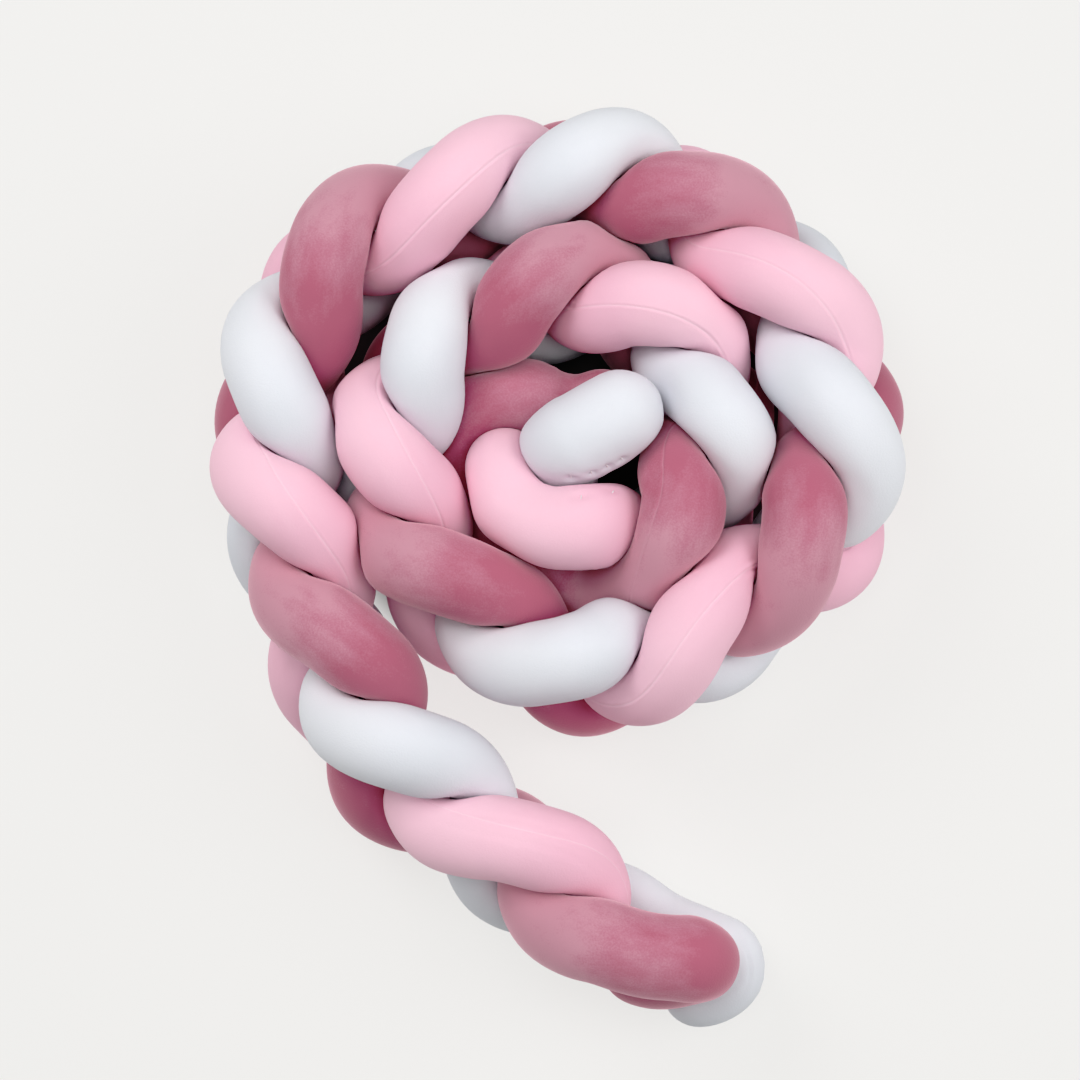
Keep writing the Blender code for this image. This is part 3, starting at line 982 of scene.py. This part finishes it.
def pile_colour_with_painted_sheen(tree, cloth, grain, colours, mottle):
    """The pile's colour with painted sheen: deep where the tube climbs, pale where it dives,
    brushed in patches.
    """
    climb = add(tree, "ShaderNodeAttribute", {"attribute_name": "climb"}, {})["Fac"]
    brushed = add(tree, "ShaderNodeMapping", {"Scale": (1.0 / STREAK, 1.0, 1.0)},
                  {"Vector": cloth})
    patches = add(tree, "ShaderNodeTexNoise", {"Scale": 1.0 / (MOTTLE_MM * MM), "Detail": 3.0},
                  {"Vector": brushed["Vector"]})["Fac"]
    both = add(tree, "ShaderNodeMath", {"operation": "MULTIPLY_ADD", 1: GRAIN_SHARE},
               {0: grain, 2: patches})["Value"]
    middle = mottle * (1.0 + GRAIN_SHARE) / 2.0
    uneven = add(tree, "ShaderNodeMath", {"operation": "MULTIPLY_ADD", 1: mottle, 2: -middle},
                 {0: both})["Value"]
    # Painted sheen: the climb, with the patches, picks a colour that is deep where the tube
    # climbs and pale where it dives.
    painted_sheen_and_patches = add(tree, "ShaderNodeMath", {"operation": "ADD"}, {0: climb, 1: uneven})["Value"]
    share = add(tree, "ShaderNodeMapRange", {"From Min": -CLIMB_RANGE, "From Max": CLIMB_RANGE},
                {"Value": painted_sheen_and_patches})["Result"]
    ramp = tree.nodes.new("ShaderNodeValToRGB")
    tree.links.new(share, ramp.inputs["Fac"])
    ramp.color_ramp.elements.new(0.5)
    for element, colour in zip(ramp.color_ramp.elements, colours):
        element.color = linear(colour)
    return ramp.outputs["Color"]


def with_seam(tree, cloth, colour, seam_colour):
    """The colour with a paler hairline along the seam."""
    half_strip = math.pi * TUBE_RADIUS * MM
    around = add(tree, "ShaderNodeSeparateXYZ", {}, {"Vector": cloth})["X"]
    away = add(tree, "ShaderNodeMath", {"operation": "PINGPONG", 1: half_strip},
               {0: around})["Value"]
    near = add(tree, "ShaderNodeMapRange", {
        "From Min": 0.0, "From Max": SEAM_SHOWS * MM, "To Min": SEAM_STRENGTH, "To Max": 0.0},
        {"Value": away})
    return add(tree, "ShaderNodeMixRGB", {"Color2": linear(seam_colour)},
               {"Fac": near["Result"], "Color1": colour})["Color"]


def velvet(name, colours, seam_colour, mottle, sheen, sheen_colour):
    """Short-pile cotton velvet with a jersey back, sewn with the pile leaning along the tube."""
    material, tree, shader = new_material(name, {
        "Roughness": 0.95,
        "Specular IOR Level": 0.15,
        "Sheen Weight": sheen,
        "Sheen Roughness": 0.45,
        "Sheen Tint": linear(sheen_colour),
    })
    cloth = add(tree, "ShaderNodeUVMap", {}, {})["UV"]
    place = add(tree, "ShaderNodeTexCoord", {}, {})["Object"]
    grain = add(tree, "ShaderNodeTexNoise", {"Scale": 1.0 / (GRAIN_MM * MM), "Detail": 2.0},
                {"Vector": place})["Fac"]
    colour = pile_colour_with_painted_sheen(tree, cloth, grain, colours, mottle)
    tree.links.new(with_seam(tree, cloth, colour, seam_colour), shader.inputs["Base Color"])
    pile = add(tree, "ShaderNodeBump", {"Strength": 0.5, "Distance": GRAIN_HEIGHT},
               {"Height": grain})
    tree.links.new(pile["Normal"], shader.inputs["Normal"])
    return material


for strand, tube in tubes.items():
    tube.data.materials.clear()
    tube.data.materials.append(velvet(f"{strand}_cotton_velvet", *VELVETS[strand]))
    print(tube.name, "is", tube.data.materials[0].name)

# %% Cotton thread
# Two-ply sewing thread of mercerised cotton, twisted, slightly shiny.
thread, _, _ = new_material("cotton_thread", {
    "Base Color": linear("#e9e6e6"), "Roughness": 0.6, "Specular IOR Level": 0.4})
stitches.data.materials.append(thread)

# %% [markdown]
# ## Floor and light
# The photo shows soft studio light without a hard shadow: soft boxes overhead, on the right
# and behind on the left, two low weak ones, and pale walls that fill in a little. The floor
# is grey paper that glows by its own light, painted light that fills in all but the closest
# shadows on it. Under the coil the paper doesn't glow, which is painted shade, so the openings
# between the loops stay dark.

# %% The glowing paper floor, with painted shade under the coil
FLOOR_SIZE = 20.0              # metres
FLOOR_GLOW = 0.71              # painted light: how bright the paper glows by its own light
COIL_MIDDLE = (0.0, 0.10, 0.0)
PAINTED_SHADE_RADII = (0.160, 0.185)         # metres from there: painted shade without glow to the first, glowing from the second

bpy.ops.object.select_all(action="DESELECT")
bpy.ops.mesh.primitive_plane_add(size=FLOOR_SIZE)
floor = bpy.context.object
floor.name = "floor"
paper, tree, shader = new_material("glowing_paper_with_painted_shade", {
    "Base Color": linear("#737372"), "Roughness": 1.0, "Specular IOR Level": 0.0,
    "Emission Color": linear("#fffefc")})
place = add(tree, "ShaderNodeTexCoord", {}, {})["Object"]
away = add(tree, "ShaderNodeVectorMath", {"operation": "DISTANCE", 1: COIL_MIDDLE}, {0: place})
# The glow is painted light that fills in the floor's shadows, and the grey paper left without it
# under the coil is painted shade.
glow = add(tree, "ShaderNodeMapRange", {"From Min": PAINTED_SHADE_RADII[0], "From Max": PAINTED_SHADE_RADII[1],
                                        "To Max": FLOOR_GLOW}, {"Value": away["Value"]})
tree.links.new(glow["Result"], shader.inputs["Emission Strength"])
floor.data.materials.append(paper)
print(floor.name, "is", paper.name)

# %% Soft boxes
BOX_AWAY = 2.6        # metres from the plait
BOX_WIDTH = 1.6

SOFT_BOXES = [
    # name, degrees round from the right, degrees up, watts
    ("overhead_box", 0, 90, 24.0),
    ("right_box", 0, 50, 23.0),
    ("back_box", 135, 50, 26.0),
    ("low_right_box", 0, 22, 9.0),
    ("low_left_box", 180, 22, 7.0),
]


def soft_box(name, around, up, watts):
    """A round soft box that faces the plait from its two angles."""
    data = bpy.data.lights.new(name, "AREA")
    data.shape = "DISK"
    data.size = BOX_WIDTH
    data.energy = watts
    light = bpy.data.objects.new(name, data)
    turn = Euler((0.0, -math.radians(up), math.radians(around))).to_matrix()
    away = turn @ Vector((1.0, 0.0, 0.0))
    light.location = BOX_AWAY * away
    light.rotation_euler = away.to_track_quat("Z", "Y").to_euler()
    bpy.context.scene.collection.objects.link(light)


for row in SOFT_BOXES:
    soft_box(*row)
print("lights:", [row[0] for row in SOFT_BOXES])

# %% Pale walls
WALLS = 0.08          # how bright the room is all round

walls = bpy.data.worlds.new("pale_walls")
walls.use_nodes = True
background = walls.node_tree.nodes["Background"]
background.inputs["Color"].default_value = (1.0, 1.0, 1.0, 1.0)
background.inputs["Strength"].default_value = WALLS
bpy.context.scene.world = walls
print(walls.name, "at", WALLS)

# %% The picture's dark tones
# A camera's contrast presses the darkest tones together. These are linear tones and how they
# are shown. From the last but one up, a tone is shown as it is.
DARK_TONES = [
    (0.03, 0.009), (0.06, 0.036), (0.09, 0.078), (0.12, 0.117), (0.20, 0.20), (0.60, 0.60)]
ALL_CHANNELS = 3      # the number of the curve for all channels together

view = bpy.context.scene.view_settings
view.view_transform = "Standard"
view.use_curve_mapping = True
response = view.curve_mapping
for tone, shown in DARK_TONES:
    response.curves[ALL_CHANNELS].points.new(tone, shown)
response.update()
print("view:", view.view_transform, "with", len(DARK_TONES), "tones")

# %% Attach the tubes and the stitches to the root, and hide the solids the tubes replace
for strand, tube in tubes.items():
    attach(tube, "root")
    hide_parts(f"strand_{strand}")

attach(stitches, "root")
